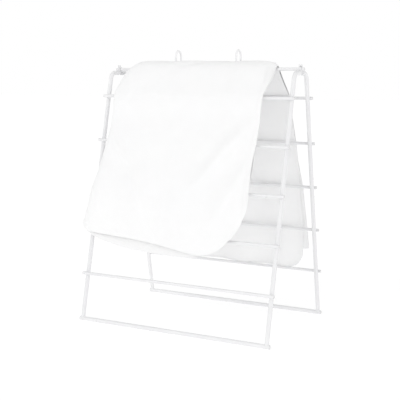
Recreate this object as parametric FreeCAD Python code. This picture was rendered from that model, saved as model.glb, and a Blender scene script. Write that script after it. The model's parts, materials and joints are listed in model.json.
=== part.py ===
import FreeCAD, Part
import math
import os

# A folding drying rack: two ladder frames of coated steel tube that share one
# ridge bar, which is their hinge pin. Two wire hooks stand on the ridge bar,
# and one folded cloth hangs over it.
# Frame: X along the rungs, Y from the front ladder to the rear one, Z up.
# The origin is on the floor, under the middle of the ridge bar. Millimetres.

# ---- driving dimensions ----
RAIL_SPACING = 600.0       # between the two rails of a ladder, centre to centre
FOOT_SPREAD = 418.0        # between the two foot bars, centre to centre
TOP_SPREAD = 93.0          # between the corners of front and rear rail
CORNER_HEIGHT = 738.0      # from the foot bar's centre up to the rail's corner
RUNG_RISE = 133.0          # upright distance from one rung to the next
RUNG_COUNT = 5

RAIL_D = 12.7              # rails and foot bars, half inch tube
RAIL_WALL = 1.2
RUNG_D = 9.5               # rungs and ridge bar, three eighths inch tube
RUNG_WALL = 1.0
BEND_R = 22.0              # centre line of the bend at the rail's top
RUNG_REACH = 312.0         # from the middle to a rung's tip, plug included
FOOT_REACH = 310.0
WELD_SINK = 0.6            # how deep a rung's saddle sits on its rail

PLUG_HEAD = 1.6            # domed head of an end plug
PLUG_ROUND = 1.3           # round on the head's rim
PLUG_STEM = 9.0

RETURN_GAP = 8.0           # from the centre plane to a rail's upper end
TONGUE_T = 3.0             # flat part of a hinge tongue
TONGUE_EYE_R = 8.0
TONGUE_STEM = 15.0         # round part of the tongue, inside the tube
WASHER_T = 1.1
RUNNING = 0.05             # radial clearance of the ridge bar in a front eye
SIDE_PLAY = 0.1            # between a washer and the front tongue
NOSE_TOP = 13.0            # stop noses, above the ridge bar's centre
NOSE_DEPTH = 6.0
NOSE_GAP = 0.1
LUG_CLEAR = 0.5            # between the rear eye and the front nose's lug
NECK_LAP = 1.0             # how far a tongue's neck runs into its round part

HOOK_X = 100.0
HOOK_WIRE_D = 6.0
HOOK_ARCH_R = 16.0         # centre line, so a 25 mm rod or rail fits inside
HOOK_RISE = 39.0           # ridge bar's centre up to the arch's centre
HOOK_TIP = 17.0            # straight end on the far side
HOOK_HOLE_R = 5.0          # hole in the cloth for a hook's stem

CLOTH_T = 4.0
CLOTH_TOP = 20.0           # above the ridge bar's centre
CLOTH_SHOULDER = (16.0, 9.0)           # out from and above the ridge bar's centre
CLOTH_LIFT = 1.5           # between the rungs and the cloth
CLOTH_BEND = 2.0           # the bend past rung 1 stands this much higher
CLOTH_SLANT = (2.4, 3.6)   # from the inner line to the outer one, where the cloth slopes
CLOTH_TOP_EDGES = (-262.0, 230.0)      # left and right edge at the ridge
CLOTH_FRONT_EDGES = (-311.0, 218.0)    # and at the panel's lower end
CLOTH_REAR_EDGES = (-290.0, 268.0)
CLOTH_FRONT_BOTTOM = 226.0
CLOTH_REAR_BOTTOM = 150.0
CLOTH_CORNER_R = 75.0
CLOTH_RIDGE_GAP = 4.5      # the front panel ends this far from the centre plane
CLOTH_PARTING = 0.4        # between the two panels
NEAR = 0.01                # tolerance for finding an edge by its place

# ---- derived places ----
FOOT_Z = RAIL_D / 2
CORNER_Z = FOOT_Z + CORNER_HEIGHT
RIDGE_Z = CORNER_Z + (RAIL_D + RUNG_D) / 2
LEAN = math.atan2((FOOT_SPREAD - TOP_SPREAD) / 2, CORNER_HEIGHT)
RUNG_OFFSET = (RAIL_D + RUNG_D) / 2 - WELD_SINK
SIDES = {"left": -1, "right": 1}
FRAMES = {"front": -1, "rear": 1}
X_AXIS = FreeCAD.Vector(1, 0, 0)
Z_AXIS = FreeCAD.Vector(0, 0, 1)


def vec(x, y, z):
    return FreeCAD.Vector(x, y, z)


def bar(start, end, radius):
    """A solid round bar between two points."""
    along = end - start
    return Part.makeCylinder(radius, along.Length, start, along)


def tube(start, end, outer_d, wall):
    return bar(start, end, outer_d / 2).cut(bar(start, end, outer_d / 2 - wall))


def pipe(path, radius):
    """A solid round bar along a wire that starts at its first vertex."""
    edge = path.Edges[0]
    start = edge.valueAt(edge.FirstParameter)
    tangent = edge.tangentAt(edge.FirstParameter)
    ring = Part.Wire(Part.makeCircle(radius, start, tangent))
    return path.makePipeShell([ring], True, True)


def plate(outline, x_low, x_high):
    """A flat plate with an outline of (y, z) points, between two X planes."""
    points = [vec(x_low, y, z) for y, z in outline]
    face = Part.Face(Part.makePolygon(points + points[:1]))
    return face.extrude(vec(x_high - x_low, 0, 0))


def leg_y(height, side):
    """Centre line of a leg: its Y at a height above the foot bar's centre."""
    return side * (FOOT_SPREAD / 2 - height * math.tan(LEAN))


def outward(side):
    """Unit vector square to a ladder, away from the other ladder."""
    return vec(0, side * math.cos(LEAN), math.sin(LEAN))


def write(name, shape):
    solid = shape.removeSplitter() if len(shape.Solids) == 1 else shape
    solid.exportStep("parts/" + name + ".step")


# ---- rails: leg, bend and a short return to the ridge, one bent tube ----
def rail_path(x, side):
    foot = vec(x, leg_y(0, side), FOOT_Z)
    corner = vec(x, side * TOP_SPREAD / 2, CORNER_Z)
    up = (corner - foot).normalize()
    inward = vec(0, -side, 0)
    turn = math.pi / 2 - LEAN
    tangent = BEND_R * math.tan(turn / 2)
    bend_start = corner - up * tangent
    bend_end = corner + inward * tangent
    centre = bend_end + vec(0, 0, -BEND_R)
    half_way = (bend_start + bend_end) * 0.5 - centre
    bend_middle = centre + half_way.normalize() * BEND_R
    tip = vec(x, side * RETURN_GAP, CORNER_Z)
    leg = Part.makeLine(foot, bend_start)
    bend = Part.Arc(bend_start, bend_middle, bend_end).toShape()
    level = Part.makeLine(bend_end, tip)
    return Part.Wire([leg, bend, level])


def rail(x, side, foot_bar_shape):
    path = rail_path(x, side)
    shape = pipe(path, RAIL_D / 2).cut(pipe(path, RAIL_D / 2 - RAIL_WALL))
    return shape.cut(foot_bar_shape)


def foot_bar_envelope(side):
    y = leg_y(0, side)
    reach = FOOT_REACH - PLUG_HEAD
    return bar(vec(-reach, y, FOOT_Z), vec(reach, y, FOOT_Z), RAIL_D / 2)


# ---- rungs: straight tubes welded across the outer face of the rails ----
def rung_centre(number, side):
    """Rung 1 is the highest."""
    height = RUNG_RISE * (RUNG_COUNT + 1 - number)
    return vec(0, leg_y(height, side), FOOT_Z + height) + outward(side) * RUNG_OFFSET


def rung(number, side, leg_envelopes):
    centre = rung_centre(number, side)
    reach = vec(RUNG_REACH - PLUG_HEAD, 0, 0)
    shape = tube(centre - reach, centre + reach, RUNG_D, RUNG_WALL)
    for envelope in leg_envelopes:
        shape = shape.cut(envelope)
    return shape


def end_plug(tip, direction, outer_d, wall):
    """A domed head that closes a tube's end, on a stem inside the tube."""
    stem = bar(tip, tip - direction * PLUG_STEM, outer_d / 2 - wall)
    head = bar(tip, tip + direction * PLUG_HEAD, outer_d / 2)
    far_rim = [e for e in head.Edges
               if abs((e.CenterOfMass - tip).dot(direction) - PLUG_HEAD) < NEAR]
    head = head.makeFillet(PLUG_ROUND, far_rim)
    return head.fuse(stem).removeSplitter()


def plug_pair(centre, reach, outer_d, wall):
    plugs = []
    for side in SIDES.values():
        direction = X_AXIS * side
        tip = centre + direction * (reach - PLUG_HEAD)
        plugs.append(end_plug(tip, direction, outer_d, wall))
    return plugs


# ---- hinge: a tongue in each rail's end, side by side on the ridge bar ----
def tongue_planes(x_side, frame):
    """The front tongue lies on the inner half of the tube, the rear one outside."""
    near = WASHER_T / 2 + (SIDE_PLAY if frame == "front" else 0)
    lean = 1 if frame == "rear" else -1
    centre = x_side * RAIL_SPACING / 2
    low, high = sorted((lean * x_side * near, lean * x_side * (near + TONGUE_T)))
    return centre + low, centre + high


def hinge_tongue(x_side, frame):
    side = FRAMES[frame]
    x_low, x_high = tongue_planes(x_side, frame)
    x_mid = x_side * RAIL_SPACING / 2
    stem_r = RAIL_D / 2 - RAIL_WALL
    mouth = vec(x_mid, side * RETURN_GAP, CORNER_Z)
    stem = bar(mouth, mouth + vec(0, side * TONGUE_STEM, 0), stem_r)
    eye = bar(vec(x_low, 0, RIDGE_Z), vec(x_high, 0, RIDGE_Z), TONGUE_EYE_R)
    drop = RIDGE_Z - CORNER_Z
    lower = vec(0, side * RETURN_GAP, -drop - stem_r)
    reach = math.hypot(lower.y, lower.z)
    bearing = math.atan2(lower.z, lower.y)
    swing = math.acos(TONGUE_EYE_R / reach) * -side
    tangent_y = TONGUE_EYE_R * math.cos(bearing + swing)
    tangent_z = TONGUE_EYE_R * math.sin(bearing + swing)
    neck = plate([(tangent_y, RIDGE_Z + tangent_z),
                  (side * RETURN_GAP, CORNER_Z - stem_r),
                  (side * (RETURN_GAP + NECK_LAP), CORNER_Z - stem_r),
                  (side * (RETURN_GAP + NECK_LAP), CORNER_Z + stem_r),
                  (side * TONGUE_EYE_R, CORNER_Z + stem_r),
                  (side * TONGUE_EYE_R, RIDGE_Z),
                  (0, RIDGE_Z)], x_low, x_high)
    inside_tube = bar(mouth, mouth + vec(0, side * TONGUE_STEM, 0), RAIL_D)
    neck = neck.cut(inside_tube)
    nose = plate([(side * NOSE_GAP, RIDGE_Z),
                  (side * NOSE_DEPTH, RIDGE_Z),
                  (side * NOSE_DEPTH, RIDGE_Z + NOSE_TOP),
                  (side * NOSE_GAP, RIDGE_Z + NOSE_TOP)], x_low, x_high)
    shape = eye.fuse([neck, nose, stem])
    if frame == "front":
        shape = shape.fuse(stop_lug(x_side))
    clearance = RUNNING if frame == "front" else 0.0
    bore = bar(vec(x_low - TONGUE_T, 0, RIDGE_Z), vec(x_high + TONGUE_T, 0, RIDGE_Z),
               RUNG_D / 2 + clearance)
    return shape.cut(bore)


def stop_lug(x_side):
    """The front nose reaches across to meet the rear nose at the open stop."""
    x_front = tongue_planes(x_side, "front")
    x_rear = tongue_planes(x_side, "rear")
    x_low = min(x_front + x_rear)
    x_high = max(x_front + x_rear)
    base = RIDGE_Z + TONGUE_EYE_R + LUG_CLEAR
    return plate([(-NOSE_DEPTH, base), (-NOSE_GAP, base),
                  (-NOSE_GAP, RIDGE_Z + NOSE_TOP), (-NOSE_DEPTH, RIDGE_Z + NOSE_TOP)],
                 x_low, x_high)


def hinge_washer(x_side):
    centre = x_side * RAIL_SPACING / 2
    start = vec(centre - WASHER_T / 2, 0, RIDGE_Z)
    end = vec(centre + WASHER_T / 2, 0, RIDGE_Z)
    return bar(start, end, TONGUE_EYE_R).cut(bar(start, end, RUNG_D / 2))


# ---- hooks: one wire each, up from the ridge bar and over to the rear ----
def hook(x, ridge_envelope):
    arch_z = RIDGE_Z + HOOK_RISE
    root = vec(x, 0, RIDGE_Z)
    arch_start = vec(x, 0, arch_z)
    arch_top = vec(x, HOOK_ARCH_R, arch_z + HOOK_ARCH_R)
    arch_end = vec(x, 2 * HOOK_ARCH_R, arch_z)
    tip = vec(x, 2 * HOOK_ARCH_R, arch_z - HOOK_TIP)
    arch = Part.Arc(arch_start, arch_top, arch_end).toShape()
    path = Part.Wire([Part.makeLine(root, arch_start), arch, Part.makeLine(arch_end, tip)])
    shape = pipe(path, HOOK_WIRE_D / 2)
    shape = shape.fuse(Part.makeSphere(HOOK_WIRE_D / 2, tip))
    return shape.cut(ridge_envelope)


# ---- cloth: one folded sheet, as a front and a rear panel that part at the ridge ----
def cloth_line(side, bottom, gap):
    """Inner line of a panel in (y, z): over the ridge, past rung 1, down."""
    clear = RUNG_D / 2 + CLOTH_LIFT
    away = outward(side) * clear
    shoulder = rung_centre(1, side) + away
    foot_height = bottom - FOOT_Z
    foot_y = leg_y(foot_height, side) + side * (RUNG_OFFSET + clear) / math.cos(LEAN)
    return [(side * gap, RIDGE_Z + CLOTH_TOP - CLOTH_T),
            (side * CLOTH_SHOULDER[0], RIDGE_Z + CLOTH_SHOULDER[1]),
            (shoulder.y, shoulder.z + CLOTH_BEND),
            (foot_y, bottom)]


def cloth_outline(side, bottom, lower_edges):
    """Front view of a panel, as a block with two rounded lower corners."""
    top = RIDGE_Z + 2 * CLOTH_TOP
    points = [vec(CLOTH_TOP_EDGES[0], 0, top), vec(CLOTH_TOP_EDGES[1], 0, top),
              vec(lower_edges[1], 0, bottom), vec(lower_edges[0], 0, bottom)]
    face = Part.Face(Part.makePolygon(points + points[:1]))
    block = face.extrude(vec(0, side * FOOT_SPREAD, 0))
    block.translate(vec(0, -side * CLOTH_TOP, 0))
    corners = [e for e in block.Edges if is_lower_corner(e, bottom)]
    return block.makeFillet(CLOTH_CORNER_R, corners)


def is_lower_corner(edge, bottom):
    box = edge.BoundBox
    return box.YLength > FOOT_SPREAD / 2 and abs(box.Center.z - bottom) < NEAR


def cloth_panel(side, bottom, gap, lower_edges):
    inner = cloth_line(side, bottom, gap)
    outer = [(y + side * CLOTH_SLANT[0], z + CLOTH_SLANT[1]) for y, z in inner]
    outer[0] = (inner[0][0], inner[0][1] + CLOTH_T)
    outer[-1] = (inner[-1][0] + side * CLOTH_T, inner[-1][1])
    wide_slab = plate(inner + outer[::-1], -RAIL_SPACING, RAIL_SPACING)
    return wide_slab.common(cloth_outline(side, bottom, lower_edges))


def stem_holes():
    holes = []
    for side in SIDES.values():
        foot = vec(side * HOOK_X, 0, RIDGE_Z)
        holes.append(bar(foot, foot + Z_AXIS * HOOK_RISE, HOOK_HOLE_R))
    return holes


def build_frame(name, side):
    envelope = foot_bar_envelope(side)
    y = leg_y(0, side)
    reach = FOOT_REACH - PLUG_HEAD
    foot = tube(vec(-reach, y, FOOT_Z), vec(reach, y, FOOT_Z), RAIL_D, RAIL_WALL)
    write(name + "_foot_bar", foot)
    leg_envelopes = []
    for side_name, x_side in SIDES.items():
        x = x_side * RAIL_SPACING / 2
        leg_envelopes.append(pipe(rail_path(x, side), RAIL_D / 2))
        write(name + "_" + side_name + "_rail", rail(x, side, envelope))
        write(name + "_" + side_name + "_hinge_tongue", hinge_tongue(x_side, name))
    plugs = plug_pair(vec(0, y, FOOT_Z), FOOT_REACH, RAIL_D, RAIL_WALL)
    write(name + "_foot_plugs", Part.makeCompound(plugs))
    rung_plugs = []
    for number in range(1, RUNG_COUNT + 1):
        write(name + "_rung_" + str(number), rung(number, side, leg_envelopes))
        rung_plugs += plug_pair(rung_centre(number, side), RUNG_REACH, RUNG_D, RUNG_WALL)
    write(name + "_rung_plugs", Part.makeCompound(rung_plugs))


def build_ridge():
    reach = RUNG_REACH - PLUG_HEAD
    start = vec(-reach, 0, RIDGE_Z)
    end = vec(reach, 0, RIDGE_Z)
    envelope = bar(start, end, RUNG_D / 2)
    write("ridge_bar", tube(start, end, RUNG_D, RUNG_WALL))
    plugs = plug_pair(vec(0, 0, RIDGE_Z), RUNG_REACH, RUNG_D, RUNG_WALL)
    write("ridge_bar_plugs", Part.makeCompound(plugs))
    washers = [hinge_washer(x_side) for x_side in SIDES.values()]
    write("hinge_washers", Part.makeCompound(washers))
    for side_name, x_side in SIDES.items():
        write(side_name + "_hook", hook(x_side * HOOK_X, envelope))


def build_cloth():
    holes = stem_holes()
    front = cloth_panel(-1, CLOTH_FRONT_BOTTOM, CLOTH_RIDGE_GAP, CLOTH_FRONT_EDGES)
    write("cloth_front", front.cut(holes))
    rear_gap = CLOTH_PARTING - CLOTH_RIDGE_GAP
    rear = cloth_panel(1, CLOTH_REAR_BOTTOM, rear_gap, CLOTH_REAR_EDGES)
    write("cloth_rear", rear.cut(holes))


os.makedirs("parts", exist_ok=True)
for frame_name, frame_side in FRAMES.items():
    build_frame(frame_name, frame_side)
build_ridge()
build_cloth()
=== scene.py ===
import json
import math

import bmesh
import bpy
import numpy as np
from mathutils import Matrix, Vector, noise


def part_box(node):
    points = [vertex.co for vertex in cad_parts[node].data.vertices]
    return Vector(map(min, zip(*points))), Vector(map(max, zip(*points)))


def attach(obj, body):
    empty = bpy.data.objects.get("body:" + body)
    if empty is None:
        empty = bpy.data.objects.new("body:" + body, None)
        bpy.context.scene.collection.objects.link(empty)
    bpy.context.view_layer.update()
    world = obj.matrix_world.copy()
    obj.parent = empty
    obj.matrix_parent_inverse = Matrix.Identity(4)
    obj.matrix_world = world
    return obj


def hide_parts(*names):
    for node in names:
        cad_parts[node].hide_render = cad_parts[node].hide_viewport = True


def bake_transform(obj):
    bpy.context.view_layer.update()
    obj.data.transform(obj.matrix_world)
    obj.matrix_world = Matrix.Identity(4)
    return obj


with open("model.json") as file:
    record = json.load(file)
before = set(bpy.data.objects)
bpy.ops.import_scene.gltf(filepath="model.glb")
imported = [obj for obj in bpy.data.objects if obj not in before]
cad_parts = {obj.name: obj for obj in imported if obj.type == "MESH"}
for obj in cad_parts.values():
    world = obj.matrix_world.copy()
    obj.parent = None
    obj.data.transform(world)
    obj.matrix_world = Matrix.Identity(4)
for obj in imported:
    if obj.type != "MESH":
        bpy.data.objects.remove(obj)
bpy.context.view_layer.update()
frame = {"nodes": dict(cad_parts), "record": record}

# ---- places taken from the frame (metres) ----
RECORD = frame["record"]


def centre(node):
    low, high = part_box(node)
    return (Vector(low) + Vector(high)) / 2


RIDGE = centre("ridge_bar")
RUNGS = {side: [centre(f"{side}_rung_{i}") for i in range(1, 6)] for side in ("front", "rear")}
FEET = {side: centre(f"{side}_foot_bar") for side in ("front", "rear")}
RUNG_R = (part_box("ridge_bar")[1][2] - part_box("ridge_bar")[0][2]) / 2
RAIL_R = (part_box("front_foot_bar")[1][2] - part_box("front_foot_bar")[0][2]) / 2
RAIL_X = centre("front_right_rail").x
HOOK_X = centre("right_hook").x
# A ladder leans along the line through its rung 1 and rung 5.
RUN = RUNGS["rear"][4].y - RUNGS["rear"][0].y
RISE = RUNGS["rear"][0].z - RUNGS["rear"][4].z
LEAN = math.atan2(RUN, RISE)


# ---- camera: the photograph's direction, distance and slight roll ----
def make_camera():
    azimuth, elevation, roll = math.radians(27.04), math.radians(7.37), math.radians(0.59)
    distance, aim_right, aim_up = 2.576, -0.0121, 0.3639
    look = Vector((-math.sin(azimuth) * math.cos(elevation),
                   math.cos(azimuth) * math.cos(elevation), -math.sin(elevation)))
    level = Vector((math.cos(azimuth), math.sin(azimuth), 0))
    above = level.cross(look)
    right = level * math.cos(roll) + above * math.sin(roll)
    up = above * math.cos(roll) - level * math.sin(roll)
    data = bpy.data.cameras.new("camera")
    data.sensor_width, data.lens = 36, 76.5
    camera = bpy.data.objects.new("camera", data)
    bpy.context.scene.collection.objects.link(camera)
    place = Vector((0, 0, aim_up)) + level * aim_right - look * distance
    turn = Matrix((right, up, -look)).transposed().to_4x4()
    camera.matrix_world = Matrix.Translation(place) @ turn
    bpy.context.scene.camera = camera


make_camera()


# ---- node helpers ----
class Nodes:
    """A material with a Principled shader, and short calls that add nodes to it."""

    def __init__(self, name):
        self.material = bpy.data.materials.new(name)
        self.material.use_nodes = True
        self.tree = self.material.node_tree
        self.shader = self.tree.nodes["Principled BSDF"]

    def add(self, kind, inputs=None, **settings):
        node = self.tree.nodes.new(kind)
        for key, value in settings.items():
            setattr(node, key, value)
        for key, value in (inputs or {}).items():
            self.put(node.inputs[key], value)
        return node

    def put(self, socket, value):
        if isinstance(value, bpy.types.NodeSocket):
            self.tree.links.new(value, socket)
        else:
            socket.default_value = value

    def set(self, **values):
        for key, value in values.items():
            self.put(self.shader.inputs[key.replace("_", " ")], value)

    def noise(self, vector, scale, detail=2.0, roughness=0.5):
        node = self.add("ShaderNodeTexNoise", {"Vector": vector, "Scale": scale, "Detail": detail,
                                               "Roughness": roughness})
        return node.outputs["Fac"]

    def remap(self, value, low, high, to_low, to_high):
        node = self.add("ShaderNodeMapRange", {"Value": value, "From Min": low, "From Max": high,
                                               "To Min": to_low, "To Max": to_high})
        return node.outputs["Result"]

    def mix(self, factor, a, b):
        node = self.add("ShaderNodeMix", data_type="RGBA")
        self.put(node.inputs["Factor"], factor)
        self.put(node.inputs["A"], a)
        self.put(node.inputs["B"], b)
        return node.outputs["Result"]

    def math(self, operation, a, b=0.0):
        node = self.add("ShaderNodeMath", operation=operation)
        self.put(node.inputs[0], a)
        self.put(node.inputs[1], b)
        return node.outputs["Value"]

    def bump(self, height, strength, distance, normal=None):
        inputs = {"Height": height, "Strength": strength, "Distance": distance}
        node = self.add("ShaderNodeBump", inputs)
        if normal is not None:
            self.put(node.inputs["Normal"], normal)
        return node.outputs["Normal"]


def grey(value, blue=0.0):
    return (value, value, value + blue, 1.0)


# ---- materials ----
def powder_coat(name, tone, wear):
    """Semi-gloss white powder coat: fine orange peel, faint dust and a few thin spots."""
    m = Nodes(name)
    place = m.add("ShaderNodeTexCoord").outputs["Object"]
    cloudy = m.noise(place, 9.0, 3.0)
    dust = m.remap(m.noise(place, 260.0, 4.0, 0.65), 0.60, 0.78, 0.0, 1.0)
    cloud = m.remap(cloudy, 0.35, 0.65, 0.0, 1.0)
    tint = m.mix(cloud, grey(tone - 0.015, 0.012), grey(tone + 0.01, 0.006))
    thin = m.remap(m.noise(place, 150.0, 5.0, 0.7), 0.70 - wear, 0.74 - wear, 0.0, 1.0)
    dusty = m.mix(m.math("MULTIPLY", dust, 0.12), tint, grey(tone - 0.12))
    m.set(Base_Color=m.mix(m.math("MULTIPLY", thin, 0.35), dusty, grey(0.55)))
    m.set(Roughness=m.remap(m.noise(place, 40.0, 3.0), 0.3, 0.7, 0.27, 0.40))
    m.set(Coat_Weight=0.25, Coat_Roughness=0.18)
    peel = m.noise(place, 900.0, 2.0, 0.4)
    m.set(Normal=m.bump(peel, 0.12, 0.0004))
    return m.material


def moulded_plastic(name, tone, roughness):
    """Matt moulded plastic with a spark-eroded grain."""
    m = Nodes(name)
    place = m.add("ShaderNodeTexCoord").outputs["Object"]
    patch = m.remap(m.noise(place, 60.0, 3.0), 0.3, 0.7, 0.0, 1.0)
    m.set(Base_Color=m.mix(patch, grey(tone - 0.03), grey(tone + 0.01)))
    rubbed = m.noise(place, 300.0, 2.0)
    m.set(Roughness=m.remap(rubbed, 0.3, 0.7, roughness - 0.06, roughness + 0.06))
    m.set(Normal=m.bump(m.noise(place, 2600.0, 3.0, 0.6), 0.25, 0.0002))
    return m.material


THREAD_PITCH = 0.0011                # one full wave of the weave


def cotton(name):
    """White cotton: a plain weave along the cloth's own threads, with slubs and soft fuzz; painted
    shade greys the weave's low points and the soft rumples' hollows.
    """
    m = Nodes(name)
    threads = m.add("ShaderNodeAttribute", attribute_name="threads").outputs["Vector"]
    split = m.add("ShaderNodeSeparateXYZ", {"Vector": threads})
    pitch = 2 * math.pi / THREAD_PITCH
    across = m.math("SINE", m.math("MULTIPLY", split.outputs["X"], pitch))
    along = m.math("SINE", m.math("MULTIPLY", split.outputs["Y"], pitch))
    weave = m.math("MULTIPLY", across, along)
    slub = m.noise(threads, 420.0, 3.0, 0.6)
    soft = m.noise(threads, 22.0, 4.0, 0.55)
    height = m.math("ADD", m.math("MULTIPLY", weave, 0.5), m.math("MULTIPLY", slub, 0.9))
    rumple = m.bump(soft, 0.35, 0.004)
    m.set(Normal=m.bump(height, 0.35, 0.00035, rumple))
    # painted shade: the soft noise that raises the rumples also greys their hollows a little and
    # lightens their crests
    shade = m.remap(soft, 0.3, 0.7, 0.0, 1.0)
    cloth = m.mix(shade, (0.930, 0.930, 0.930, 1), (0.943, 0.943, 0.944, 1))
    # painted shade: the weave's low points, where the threads dip, are greyed towards 0.74
    weave_gap_shade = m.remap(weave, -1.0, 1.0, 0.12, 0.0)
    m.set(Base_Color=m.mix(weave_gap_shade, cloth, (0.74, 0.74, 0.75, 1)))
    m.set(Roughness=m.remap(slub, 0.3, 0.7, 0.82, 0.95))
    m.set(Sheen_Weight=0.15, Sheen_Roughness=0.5, Specular_IOR_Level=0.2)
    return m.material


def thread(name):
    """Pale sewing thread with a slanting twist, and painted shade in the twist's grooves."""
    m = Nodes(name)
    place = m.add("ShaderNodeTexCoord").outputs["Object"]
    twist = m.add("ShaderNodeTexWave", {"Vector": place, "Scale": 900.0, "Distortion": 2.0})
    # painted shade: where the twist wave is low, in its grooves, the thread is darker
    m.set(Base_Color=m.mix(twist.outputs["Fac"], (0.84, 0.84, 0.83, 1), (0.93, 0.93, 0.92, 1)))
    m.set(Roughness=0.6, Sheen_Weight=0.2)
    m.set(Normal=m.bump(twist.outputs["Fac"], 0.4, 0.0002))
    return m.material


MATERIALS = {
    "coated_tube": powder_coat("coated_tube", 0.82, 0.0),
    "hinge": powder_coat("hinge", 0.80, 0.05),
    "hook_wire": powder_coat("hook_wire", 0.88, 0.03),
    "end_plug": moulded_plastic("end_plug", 0.76, 0.5),
    "washer": moulded_plastic("washer", 0.78, 0.42),
    "cloth": cotton("cloth"),
}
STITCH = thread("cloth_thread")


def dress_cad_nodes():
    slots = {part["node"]: part["material_slot"] for part in RECORD["subparts"]}
    for name, node in frame["nodes"].items():
        node.data.materials.clear()
        node.data.materials.append(MATERIALS[slots[name]])


dress_cad_nodes()


def put_together(vertices, faces, more_vertices, more_faces):
    """Adds one closed shape to the lists of a mesh in the making."""
    start = len(vertices)
    vertices += more_vertices
    faces += [tuple(start + i for i in face) for face in more_faces]


def add_mesh(name, vertices, faces, material, body=None, smooth=True):
    mesh = bpy.data.meshes.new(name)
    mesh.from_pydata([tuple(v) for v in vertices], [], faces)
    mesh.validate()
    mesh.polygons.foreach_set("use_smooth", [smooth] * len(mesh.polygons))
    mesh.materials.append(material)
    piece = bpy.data.objects.new(name, mesh)
    bpy.context.scene.collection.objects.link(piece)
    if body:
        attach(piece, body)
    return piece


# ---- welds: a small bead round each joint between two tubes ----
WELD_SINK = 0.0006                   # how deep a rung's saddle sits on its rail
BEAD_R = 0.0010
BEAD_UNEVEN = 0.3                    # share by which a bead's radius varies
BEAD_LUMPS = 400                     # lumps for each metre of bead, roughly


def ring_tube(points, normals, radius, sides=8):
    """A closed tube round a closed line; radius is one value per point."""
    vertices, faces = [], []
    count = len(points)
    for i, point in enumerate(points):
        along = (points[(i + 1) % count] - points[i - 1]).normalized()
        out = (normals[i] - along * normals[i].dot(along)).normalized()
        side = along.cross(out)
        for k in range(sides):
            turn = 2 * math.pi * k / sides
            vertices.append(point + (out * math.cos(turn) + side * math.sin(turn)) * radius[i])
    for i in range(count):
        here, there = i * sides, (i + 1) % count * sides
        for k in range(sides):
            after = (k + 1) % sides
            faces.append((here + k, there + k, there + after, here + after))
    return vertices, faces


def saddle_line(origin, out, along, big_r, small_r, gap, count=28):
    """Where a small tube, crossing square, meets a big one; gap is from centre to centre."""
    across = along.cross(out).normalized()
    reach_across = math.sqrt(big_r ** 2 - (gap - small_r) ** 2)
    reach_along = math.sqrt(small_r ** 2 - (gap - big_r) ** 2)
    points, normals = [], []
    for i in range(count):
        turn = 2 * math.pi * i / count
        a = math.cos(turn) * reach_across
        b = math.sin(turn) * reach_along
        height = math.sqrt(max(big_r ** 2 - a ** 2, 0))
        points.append(origin + across * a + along * b + out * height)
        normals.append((across * a + along * b).normalized())
    return points, normals


def tee_line(origin, up, radius, count=36):
    """Where a tube that stands on a foot bar of its own size, square to it, meets the bar."""
    across = up.cross(Vector((1, 0, 0)))
    points, normals = [], []
    for i in range(count):
        turn = 2 * math.pi * (i + 0.5) / count
        out = Vector((math.cos(turn), 0, 0)) + across * math.sin(turn)
        points.append(origin + out * radius + up * radius * abs(math.cos(turn)))
        normals.append(out)
    return points, normals


def weld_beads(side, sign):
    """Beads between every rung and its two rails, and round the rails' feet."""
    out = Vector((0, sign * math.cos(LEAN), math.sin(LEAN)))
    along = Vector((0, -sign * math.sin(LEAN), math.cos(LEAN)))
    gap = RAIL_R + RUNG_R - WELD_SINK
    lines = []
    for x_sign in (-1, 1):
        across = Vector((x_sign * RAIL_X, 0, 0))
        for rung in RUNGS[side]:
            lines.append(saddle_line(rung + across - out * gap, out, along, RAIL_R, RUNG_R, gap))
        lines.append(tee_line(FEET[side] + across, along, RAIL_R))
    vertices, faces = [], []
    for number, (points, normals) in enumerate(lines):
        shift = Vector((number, 0, 0))
        radius = [BEAD_R * (1 + BEAD_UNEVEN * noise.noise(p * BEAD_LUMPS + shift)) for p in points]
        put_together(vertices, faces, *ring_tube(points, normals, radius))
    coat = MATERIALS["coated_tube"]
    add_mesh(f"{side}_welds", vertices, faces, coat, f"{side}_frame")


weld_beads("front", -1)
weld_beads("rear", 1)


# ---- the cloth: one sheet folded double along its left side, draped over the ridge ----
CLOTH_T = 0.0013                     # inside the hems; plain cloth is thinner, by PLAIN_SHARE
PLAIN_SHARE = 0.6
SPACING = 0.010
HEM = 0.011                          # width of the turned hem
TOUCH = RUNG_R + CLOTH_T             # inner layer's middle, from the centre of a bar it rests on
WRAP_R = TOUCH + 0.010               # the wrap line runs this far from the centres of the bars
FOLD_GAP = 0.0034                    # between the two layers where they are one turn of cloth
OPEN_GAP = 0.0022                    # between them along the open edge
STEM_HOLE = 0.0050                   # radius of an eyelet
EYELET_DIP = 0.0012                  # how far its front and back hang over the ridge bar
EYELET_THREAD = 0.0011               # radius of the sewn rim
STITCH_STEP, STITCH_LENGTH = 0.0042, 0.0028
STITCH_PROUD = 0.0002                # how far a stitch stands out of the cloth
STITCH_HALF_W = 0.0003

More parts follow.
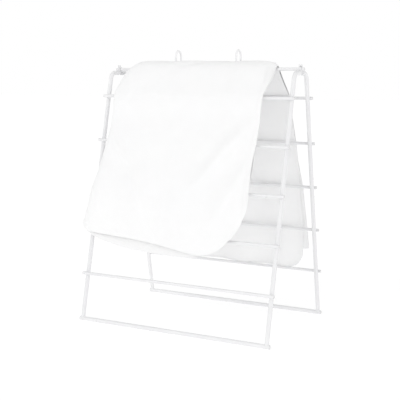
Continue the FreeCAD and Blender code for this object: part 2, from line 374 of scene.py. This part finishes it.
# Side edges: (height, X), and hems: (X, height), for each side of the ridge and each layer.
LEFT = {"front": [(0.20, -0.322), (0.29, -0.312), (0.36, -0.303), (0.43, -0.292), (0.51, -0.279),
                  (0.57, -0.268), (0.66, -0.267), (0.70, -0.267), (0.732, -0.262), (0.753, -0.251),
                  (0.766, -0.240), (0.779, -0.228)],
        "rear": [(0.10, -0.296), (0.40, -0.284), (0.66, -0.268), (0.70, -0.267), (0.732, -0.262),
                 (0.753, -0.251), (0.766, -0.240), (0.779, -0.228)]}
RIGHT = {("front", "outer"): [(0.20, 0.214), (0.36, 0.211), (0.45, 0.212), (0.54, 0.219),
                              (0.68, 0.222), (0.73, 0.227), (0.779, 0.231)],
         ("front", "inner"): [(0.20, 0.206), (0.36, 0.207), (0.54, 0.216), (0.68, 0.220),
                              (0.779, 0.229)],
         ("rear", "outer"): [(0.15, 0.276), (0.21, 0.270), (0.40, 0.259), (0.59, 0.244),
                             (0.69, 0.237), (0.779, 0.231)],
         ("rear", "inner"): [(0.15, 0.250), (0.36, 0.252), (0.52, 0.248), (0.69, 0.235),
                             (0.779, 0.229)]}
HEMS = {("front", "outer"): [(-0.318, 0.296), (-0.300, 0.277), (-0.270, 0.268), (-0.231, 0.2645),
                             (-0.111, 0.256), (0.000, 0.241), (0.070, 0.231), (0.100, 0.236),
                             (0.138, 0.252), (0.165, 0.276), (0.188, 0.303), (0.205, 0.340),
                             (0.216, 0.400)],
        ("front", "inner"): [(-0.318, 0.296), (-0.300, 0.275), (-0.265, 0.253), (-0.232, 0.243),
                             (-0.170, 0.231), (-0.110, 0.2265), (0.000, 0.222), (0.070, 0.228),
                             (0.105, 0.242), (0.145, 0.275), (0.180, 0.318), (0.207, 0.395)],
        ("rear", "outer"): [(-0.300, 0.205), (-0.285, 0.192), (-0.250, 0.190), (-0.100, 0.197),
                            (0.100, 0.201), (0.240, 0.205), (0.262, 0.206), (0.272, 0.209)],
        ("rear", "inner"): [(-0.300, 0.205), (-0.285, 0.188), (-0.240, 0.170), (-0.150, 0.156),
                            (0.000, 0.150), (0.150, 0.148), (0.215, 0.149), (0.236, 0.158),
                            (0.246, 0.174), (0.252, 0.200)]}
# Soft folds: side, start (X, height), end (X, height), half width, height of the fold.
FOLDS = [("front", (-0.290, 0.600), (-0.140, 0.440), 0.014, 0.0125),
         ("front", (-0.175, 0.485), (-0.085, 0.290), 0.020, 0.0090),
         ("front", (0.210, 0.625), (0.010, 0.380), 0.017, 0.0120),
         ("front", (0.220, 0.530), (0.105, 0.290), 0.020, 0.0095),
         ("front", (-0.060, 0.745), (-0.040, 0.540), 0.028, 0.0035),
         ("front", (0.110, 0.745), (0.165, 0.570), 0.024, 0.0045),
         ("front", (-0.200, 0.745), (-0.245, 0.600), 0.020, 0.0040),
         ("rear", (-0.270, 0.660), (-0.080, 0.380), 0.018, 0.0090),
         ("rear", (0.225, 0.620), (0.050, 0.320), 0.020, 0.0095),
         ("rear", (-0.120, 0.500), (-0.190, 0.220), 0.024, 0.0070),
         ("rear", (0.140, 0.420), (0.205, 0.215), 0.022, 0.0070),
         ("rear", (0.020, 0.745), (-0.010, 0.460), 0.026, 0.0045)]


def smooth(t):
    t = min(max(t, 0.0), 1.0)
    return t * t * (3 - 2 * t)


def between(value, knots):
    """A smooth line through (key, value) knots in rising order of key."""
    keys = [k for k, _ in knots]
    values = [v for _, v in knots]
    if value <= keys[0]:
        return values[0]
    if value >= keys[-1]:
        return values[-1]
    i = max(j for j in range(len(keys) - 1) if keys[j] <= value)
    steps = [(values[j + 1] - values[j]) / (keys[j + 1] - keys[j]) for j in range(len(keys) - 1)]
    slopes = [(steps[max(j - 1, 0)] + steps[min(j, len(steps) - 1)]) / 2 for j in range(len(keys))]
    width = keys[i + 1] - keys[i]
    t = (value - keys[i]) / width
    a, b, c = 2 * t ** 3 - 3 * t * t + 1, t ** 3 - 2 * t * t + t, t ** 3 - t * t
    return (a * values[i] + (1 - a) * values[i + 1]
            + b * width * slopes[i] + c * width * slopes[i + 1])


FIRST = Vector((RUNGS["rear"][0].y, RUNGS["rear"][0].z))
TOP = Vector((0.0, RIDGE.z))
SLOPE = (FIRST - TOP).normalized()
SLOPE_TURN = math.atan2(-SLOPE.y, SLOPE.x)
LADDER_TURN = math.pi / 2 - LEAN
ARC_1 = WRAP_R * SLOPE_TURN
RUN_1 = ARC_1 + (FIRST - TOP).length
ARC_2 = RUN_1 + WRAP_R * (LADDER_TURN - SLOPE_TURN)


def wrap(s):
    """Where the wrap line is after a length s from the top of the ridge, and its outward normal."""
    if s < ARC_1:
        turn = s / WRAP_R
        foot = TOP
    elif s < RUN_1:
        turn = SLOPE_TURN
        foot = TOP + SLOPE * (s - ARC_1)
    elif s < ARC_2:
        turn = SLOPE_TURN + (s - RUN_1) / WRAP_R
        foot = FIRST
    else:
        turn = LADDER_TURN
        foot = FIRST + Vector((math.sin(LEAN), -math.cos(LEAN))) * (s - ARC_2)
    normal = Vector((math.sin(turn), math.cos(turn)))
    return foot + normal * WRAP_R, normal


def length_at(z):
    """How far down the wrap line a height is."""
    low, high = 0.0, 1.0
    for _ in range(40):
        middle = (low + high) / 2
        if wrap(middle)[0].y > z:
            low = middle
        else:
            high = middle
    return low


RUNG_STOPS = [0.0] + [length_at(rung.z + WRAP_R * math.sin(LEAN)) for rung in RUNGS["rear"]]


def sag_share(s):
    """0 where the cloth lies on a bar, 1 midway between two of them."""
    for a, b in zip(RUNG_STOPS, RUNG_STOPS[1:]):
        if s < b:
            return math.sin(math.pi * (s - a) / (b - a)) ** 2
    return 0.0


def ripple(x, s, seed, size):
    """Smooth noise from -1 to 1, with waves about as wide as size."""
    return noise.noise(Vector((x / size, s / size, seed)))


def fold_height(side, x, z):
    """How high the soft folds stand at a place."""
    total = 0.0
    for where, a, b, width, height in FOLDS:
        if where != side:
            continue
        start, run = Vector(a), Vector(b) - Vector(a)
        offset = Vector((x, z)) - start
        t = offset.dot(run) / run.length_squared
        across = (offset - run * t).length / width
        ends = smooth(t / 0.3) * smooth((1 - t) / 0.45) if 0 < t < 1 else 0.0
        total += height * ends * math.exp(-across * across)
    return total


# Room between the layers as (length from the ridge, gap): over the ridge, and further down.
CROWN = [(0.0, 0.0105), (0.0135, 0.0160), (0.031, 0.0205), (0.054, 0.0205), (0.077, 0.0160),
         (0.100, 0.0102), (0.124, 0.0042), (0.150, 0.0040), (0.300, 0.0030)]
BODY = [(0.0, 0.0), (0.100, 0.0), (0.220, 0.0040), (0.360, 0.0150), (0.480, 0.0185),
        (0.600, 0.0140)]
# How far the inner layer rises off the ridge bar, in the same form.
INNER_CROWN = [(0.0, 0.0015), (0.0135, 0.0040), (0.031, 0.0060), (0.054, 0.0060),
               (0.077, 0.0040), (0.110, 0.0010), (0.124, 0.0), (0.150, 0.0)]
# The inner layer.
CLEARANCE = 0.0003                   # off a bar it lies on
SAG = 0.0035                         # how far it sinks midway between two bars
EDGE_LIFT = 0.0030                   # how far its side edges stand off
OPEN_LIFT = 0.0045                   # how much further its open edge does, lower down
UNEVEN = 0.0008                      # fine waves all over it
HANG = {"front": 0.75, "rear": 0.25}            # below rung 4: 0 keeps to the ladder, 1 is plumb
HANG_FROM = 0.006                    # how far below rung 4 that begins
FLARE = {"front": 0.018, "rear": 0.006}         # how far the lower left corner swings out
FLUTES = {"front": 0.0045, "rear": 0.0100}      # height of the upright waves at the hem
FLUTE_PITCH = 0.145
FLUTE_PHASE = {"front": 1.1, "rear": 2.9}
# The outer layer: how far in from each side edge it takes to part from the inner one.
CROWN_LEFT, CROWN_RIGHT = 0.042, 0.050
BODY_LEFT, BODY_RIGHT = 0.060, 0.160
FLAT_EDGE = 0.015                    # strip along the rear open edge where they lie together
OUTER_FLUTE = 0.0045                 # height of its own upright waves
OUTER_SHIFT = 0.03                   # how far those are shifted from the inner layer's
BROAD_WAVES, FINE_WAVES = 0.0012, 0.0006
# The pinch over the hump, as (X, length from the ridge, which counts up towards the front).
CREASE_START, CREASE_RUN = (-0.085, 0.040), (0.115, -0.034)
CREASE_WIDTH, CREASE_DEPTH = 0.0055, 0.0042


def puff(distance, width):
    """Rises from 0 at an edge to 1, round like the side of a pillow."""
    t = min(max(distance / width, 0.0), 1.0)
    return math.sqrt(1 - (1 - t) ** 2)


def flute(side, x, s):
    """Soft upright waves that grow towards the hem."""
    grow = smooth((s - 0.22) / 0.34)
    drift = 0.30 * ripple(x, s, 4.0, 0.30)
    wave = math.sin(2 * math.pi * (x / FLUTE_PITCH + drift) + FLUTE_PHASE[side])
    return grow * 0.5 * (1 + wave)


def inner_height(side, x, s, z):
    """How far the inner layer stands off the bars."""
    from_left = x - between(z, LEFT[side])
    from_right = between(z, RIGHT[side, "inner"]) - x
    height = CLEARANCE - SAG * sag_share(s) * (1 - 0.4 * smooth(1 - from_right / 0.1))
    height += EDGE_LIFT * smooth((s - 0.03) / 0.08) * smooth(1 - min(from_left, from_right) / 0.07)
    height += between(s, INNER_CROWN) * puff(from_left, 0.05) * puff(from_right, 0.06)
    uneven = UNEVEN * smooth(s / 0.1) * (1 + ripple(x, s, 9.0, 0.05))
    height += FLUTES[side] * flute(side, x, s) + uneven
    below_rung_4 = max(0.0, RUNGS["rear"][3].z - HANG_FROM - z)
    height -= HANG[side] * below_rung_4 * math.sin(LEAN)
    height += FLARE[side] * smooth((s - 0.28) / 0.24) * smooth(1 - from_left / 0.17)
    height += OPEN_LIFT * smooth((s - 0.10) / 0.2) * smooth(1 - from_right / 0.05)
    return height


def open_side(side, s, from_right, width):
    """How the layers part inwards from the open edge; below the rear hump they touch first."""
    flat = smooth((s - 0.09) / 0.08) if side == "rear" else 0.0
    late = smooth((from_right - FLAT_EDGE) / (1.3 * width))
    return (1 - flat) * puff(from_right, width) + flat * late


def outer_height(side, x, s, z, to_hem):
    """How far the outer layer stands off the bars: always above the inner one."""
    from_left = x - between(z, LEFT[side])
    from_right = between(z, RIGHT[side, "outer"]) - x
    edge_gap = FOLD_GAP if from_left < from_right else OPEN_GAP
    inside = puff(from_left, CROWN_LEFT) * open_side(side, s, from_right, CROWN_RIGHT)
    full = puff(from_left, BODY_LEFT) * open_side(side, s, from_right, BODY_RIGHT)
    body = full * between(s, BODY) * (0.25 + 0.75 * smooth(to_hem / 0.11))
    gap = edge_gap + inside * between(s, CROWN) + body
    gap += inside * (fold_height(side, x, z) + BROAD_WAVES * (1 + ripple(x, s, 2.0, 0.11)))
    gap += inside * FINE_WAVES * (1 + ripple(x, s, 5.0, 0.035))
    gap += inside * OUTER_FLUTE * flute(side, x + OUTER_SHIFT, s) * smooth(to_hem / 0.05)
    return inner_height(side, x, s, z) + gap


def crease(x, s, side):
    """A small pinch that runs slantwise over the hump."""
    if side == "rear":
        s = -s
    start, run = Vector(CREASE_START), Vector(CREASE_RUN)
    offset = Vector((x, s)) - start
    t = offset.dot(run) / run.length_squared
    if not 0 < t < 1:
        return 0.0
    across = (offset - run * t).length / CREASE_WIDTH
    return -CREASE_DEPTH * math.sin(math.pi * t) * math.exp(-across * across)


TOP_LEFT, TOP_RIGHT = LEFT["front"][-1][1], RIGHT["front", "outer"][-1][1]
FOLD_COLUMNS = (0.004, 0.012)        # extra columns near the fold
SELVEDGE = 0.002                     # the last column and row, from an edge
FALL = {"front": 0.46, "rear": 0.54}            # rough length down each side, for the row count


def columns():
    """Places across the ridge, with one column exactly at each hook's stem."""
    left, right = TOP_LEFT, TOP_RIGHT
    near_fold = [left + step for step in FOLD_COLUMNS]
    stops = [left, *near_fold, -HOOK_X, HOOK_X, right - HEM, right - SELVEDGE, right]
    places = []
    for a, b in zip(stops, stops[1:]):
        n = max(1, round((b - a) / SPACING))
        places += [a + (b - a) * i / n for i in range(n)]
    return [(x - left) / (right - left) for x in places + [right]]


TOP_ROWS = [0.0, 0.004, 0.008, 0.012, 0.017, 0.023, 0.030, 0.038]
HEM_ROWS = [HEM, HEM - SELVEDGE, SELVEDGE, 0.0]


def row_lengths(total, count):
    """Lengths down a column: close over the ridge, even below it, and close again at the hem."""
    start, end = TOP_ROWS[-1], total - HEM_ROWS[0]
    even = [start + (end - start) * i / count for i in range(1, count)]
    return TOP_ROWS + even + [total - step for step in HEM_ROWS]


def edge_x(side, layer, share, z):
    """X of a column at a height; the side edges wander a little, more the lower they are."""
    left, right = between(z, LEFT[side]), between(z, RIGHT[side, layer])
    loose = smooth((TOP.y - 0.03 - z) / 0.2)
    left += 0.0015 * loose * ripple(z, 0.0, 7.0, 0.09)
    right += 0.0030 * loose * ripple(z, 0.0, 3.0 if layer == "outer" else 6.0, 0.11)
    return left + (right - left) * share


def half_layer(side, layer, shares, count):
    """Points and thread places of one layer on one side, down each column."""
    sign = -1 if side == "front" else 1
    made = []
    for share in shares:
        z_hem = 0.2
        for _ in range(6):
            z_hem = between(edge_x(side, layer, share, z_hem), HEMS[side, layer])
        total = length_at(z_hem)
        column = []
        for s in row_lengths(total, count):
            base, normal = wrap(s)
            x = edge_x(side, layer, share, base.y)
            if layer == "inner":
                height = inner_height(side, x, s, base.y)
            else:
                height = outer_height(side, x, s, base.y, total - s) + crease(x, s, side)
            place = base + normal * (height + TOUCH - WRAP_R)
            column.append((Vector((x, sign * place.x, place.y)), sign * s))
        made.append(column)
    return made


def build_cloth():
    """Both layers as one mesh, joined along the fold; r counts rows, below 0 in front."""
    shares = columns()
    counts = {side: round(fall / SPACING) for side, fall in FALL.items()}
    rows = {side: len(row_lengths(FALL[side], counts[side])) - 1 for side in counts}
    bm = bmesh.new()
    threads = bm.verts.layers.float_vector.new("threads")
    hem = bm.verts.layers.deform.verify()
    grid = {}
    for layer in ("inner", "outer"):
        side_sign = -1 if layer == "inner" else 1
        halves = {side: half_layer(side, layer, shares, counts[side]) for side in counts}
        for i in range(len(shares)):
            for r in range(-rows["front"], rows["rear"] + 1):
                side = "front" if r < 0 else "rear"
                place, v = halves[side][i][abs(r)]
                if r == 0:
                    place = (halves["front"][i][0][0] + place) / 2
                vert = bm.verts.new(place)
                vert[threads] = (side_sign * (place.x - LEFT["rear"][-1][1]), v, 0.0)
                in_hem = rows[side] - abs(r) < len(HEM_ROWS) or i > len(shares) - 4
                vert[hem][0] = 1.0 if in_hem else PLAIN_SHARE
                grid[layer, i, r] = vert
    row_list = range(-rows["front"], rows["rear"])
    for layer in ("inner", "outer"):
        for i in range(len(shares) - 1):
            for r in row_list:
                quad = [grid[layer, i, r], grid[layer, i + 1, r],
                        grid[layer, i + 1, r + 1], grid[layer, i, r + 1]]
                bm.faces.new(quad if layer == "outer" else quad[::-1])
    for r in row_list:
        bm.faces.new([grid["inner", 0, r], grid["outer", 0, r],
                      grid["outer", 0, r + 1], grid["inner", 0, r + 1]])
    return bm, grid, shares, rows


# Steps in columns and rows round a hook's stem, clockwise from behind it.
AROUND = [(0, 2), (1, 2), (1, 1), (1, 0), (1, -1), (1, -2),
          (0, -2), (-1, -2), (-1, -1), (-1, 0), (-1, 1), (-1, 2)]


def cut_stem_holes(bm, grid, shares):
    """A small round eyelet in both layers for each hook's stem; returns their edge lines."""
    left, right = TOP_LEFT, TOP_RIGHT
    rings = []
    for stem_x in (-HOOK_X, HOOK_X):
        i = min(range(len(shares)), key=lambda k: abs(left + (right - left) * shares[k] - stem_x))
        for layer in ("inner", "outer"):
            height = grid[layer, i, 0].co.z
            ring = []
            for n, (di, dr) in enumerate(AROUND):
                vert = grid[layer, i + di, dr]
                turn = math.pi / 2 - 2 * math.pi * n / len(AROUND)
                vert.co = Vector((stem_x + STEM_HOLE * math.cos(turn), STEM_HOLE * math.sin(turn),
                                  height - EYELET_DIP * abs(math.sin(turn))))
                ring.append(vert.co.copy())
            middle = [grid[layer, i, dr] for dr in (-1, 0, 1)]
            bmesh.ops.delete(bm, geom=middle, context="VERTS")
            rings.append(ring)
    return rings


bm, grid, shares, rows = build_cloth()
eyelets = cut_stem_holes(bm, grid, shares)


def line_of_stitches(points, normals):
    """Short stitches along a line of points, standing proud of both faces of the cloth."""
    made, travelled = [], 0.0
    due = STITCH_STEP
    for i in range(1, len(points)):
        a, b = points[i - 1], points[i]
        part = (b - a).length
        while part > 1e-7 and travelled + part >= due:
            t = (due - travelled) / part
            made.append((a.lerp(b, t), (b - a).normalized(), normals[i]))
            due += STITCH_STEP
        travelled += part
    vertices, faces = [], []
    for place, along, normal in made:
        normal = (normal - along * normal.dot(along)).normalized()
        side = along.cross(normal)
        start = len(vertices)
        for end, width in ((-0.5, 0.25), (-0.25, 1.0), (0.25, 1.0), (0.5, 0.25)):
            for k in range(6):
                turn = math.pi / 3 * k
                out = (normal * math.cos(turn) * (CLOTH_T / 2 + STITCH_PROUD)
                       + side * math.sin(turn) * STITCH_HALF_W)
                vertices.append(place + along * STITCH_LENGTH * end + out * width)
        for ring in range(3):
            for k in range(6):
                a, b = start + ring * 6 + k, start + ring * 6 + (k + 1) % 6
                faces.append((a, b, b + 6, a + 6))
        faces.append(tuple(start + k for k in reversed(range(6))))
        faces.append(tuple(start + 18 + k for k in range(6)))
    return vertices, faces


def stitch_lines():
    """The row of stitches inside each hem and along the open edge, as points and normals."""
    last = len(shares) - 1
    lines = []
    for layer in ("inner", "outer"):
        for side, sign in (("front", -1), ("rear", 1)):
            r = sign * (rows[side] - 3)
            lines.append([grid[layer, i, r] for i in range(last - 2)])
        down = range(-(rows["front"] - 3), rows["rear"] - 2)
        lines.append([grid[layer, last - 2, r] for r in down])
    return lines


def build_stitches():
    """The hems' stitches and the eyelets' sewn rims, as one piece."""
    bm.normal_update()
    vertices, faces = [], []
    for line in stitch_lines():
        points, normals = [v.co.copy() for v in line], [v.normal.copy() for v in line]
        put_together(vertices, faces, *line_of_stitches(points, normals))
    for ring in eyelets:
        middle = sum(ring, Vector()) / len(ring)
        out = [(p - middle).normalized() for p in ring]
        put_together(vertices, faces, *ring_tube(ring, out, [EYELET_THREAD] * len(ring), 6))
    return add_mesh("cloth_stitches", vertices, faces, STITCH, None)


stitches = build_stitches()
mesh = bpy.data.meshes.new("folded_cloth")
bm.to_mesh(mesh)
bm.free()
cloth = bpy.data.objects.new("folded_cloth", mesh)
bpy.context.scene.collection.objects.link(cloth)
cloth.vertex_groups.new(name="hem")
mesh.materials.append(MATERIALS["cloth"])
mesh.polygons.foreach_set("use_smooth", [True] * len(mesh.polygons))
divide = cloth.modifiers.new("finer", "SUBSURF")
divide.levels = divide.render_levels = 1
thicken = cloth.modifiers.new("thickness", "SOLIDIFY")
thicken.thickness = CLOTH_T
thicken.offset = 0.0
thicken.vertex_group = "hem"
thicken.thickness_vertex_group = 0.0

for piece in (cloth, stitches):
    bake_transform(piece)
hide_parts("cloth_front", "cloth_rear")


# ---- studio: pale floor and soft light ----
def make_floor():
    m = Nodes("floor")
    place = m.add("ShaderNodeTexCoord").outputs["Object"]
    m.set(Base_Color=m.mix(m.noise(place, 1.5, 3.0), grey(0.50), grey(0.51)), Roughness=1.0)
    m.set(Specular_IOR_Level=0.0, Emission_Color=(1, 1, 1, 1), Emission_Strength=0.60)
    size = 60.0
    corners = [(-size, -size, 0), (size, -size, 0), (size, size, 0), (-size, size, 0)]
    floor = add_mesh("floor", corners, [(0, 1, 2, 3)], m.material, smooth=False)


def sun(name, towards, strength, spread):
    data = bpy.data.lights.new(name, "SUN")
    data.energy, data.angle = strength, math.radians(spread)
    lamp = bpy.data.objects.new(name, data)
    bpy.context.scene.collection.objects.link(lamp)
    lamp.rotation_euler = Vector(towards).to_track_quat("-Z", "Y").to_euler()


def make_world():
    """A white studio: bright walls near eye level, and a softer ceiling."""
    world = bpy.data.worlds.new("studio")
    bpy.context.scene.world = world
    world.use_nodes = True
    tree = world.node_tree
    place = tree.nodes.new("ShaderNodeTexCoord")
    split = tree.nodes.new("ShaderNodeSeparateXYZ")
    ramp = tree.nodes.new("ShaderNodeMapRange")
    tree.links.new(place.outputs["Generated"], split.inputs["Vector"])
    tree.links.new(split.outputs["Z"], ramp.inputs["Value"])
    for key, value in (("From Min", 0.13), ("From Max", 0.40), ("To Min", 1.0), ("To Max", 0.60)):
        ramp.inputs[key].default_value = value
    tree.links.new(ramp.outputs["Result"], tree.nodes["Background"].inputs["Strength"])
    tree.nodes["Background"].inputs["Color"].default_value = (1, 1, 1, 1)


make_floor()
make_world()
sun("key", (0.42, 0.78, -0.46), 0.47, 24)
sun("top", (-0.10, 0.15, -1.0), 0.45, 80)
sun("fill", (-0.86, 0.46, -0.05), 0.56, 50)
bpy.context.scene.view_settings.view_transform = "Standard"
bpy.context.scene.cycles.diffuse_bounces = 8
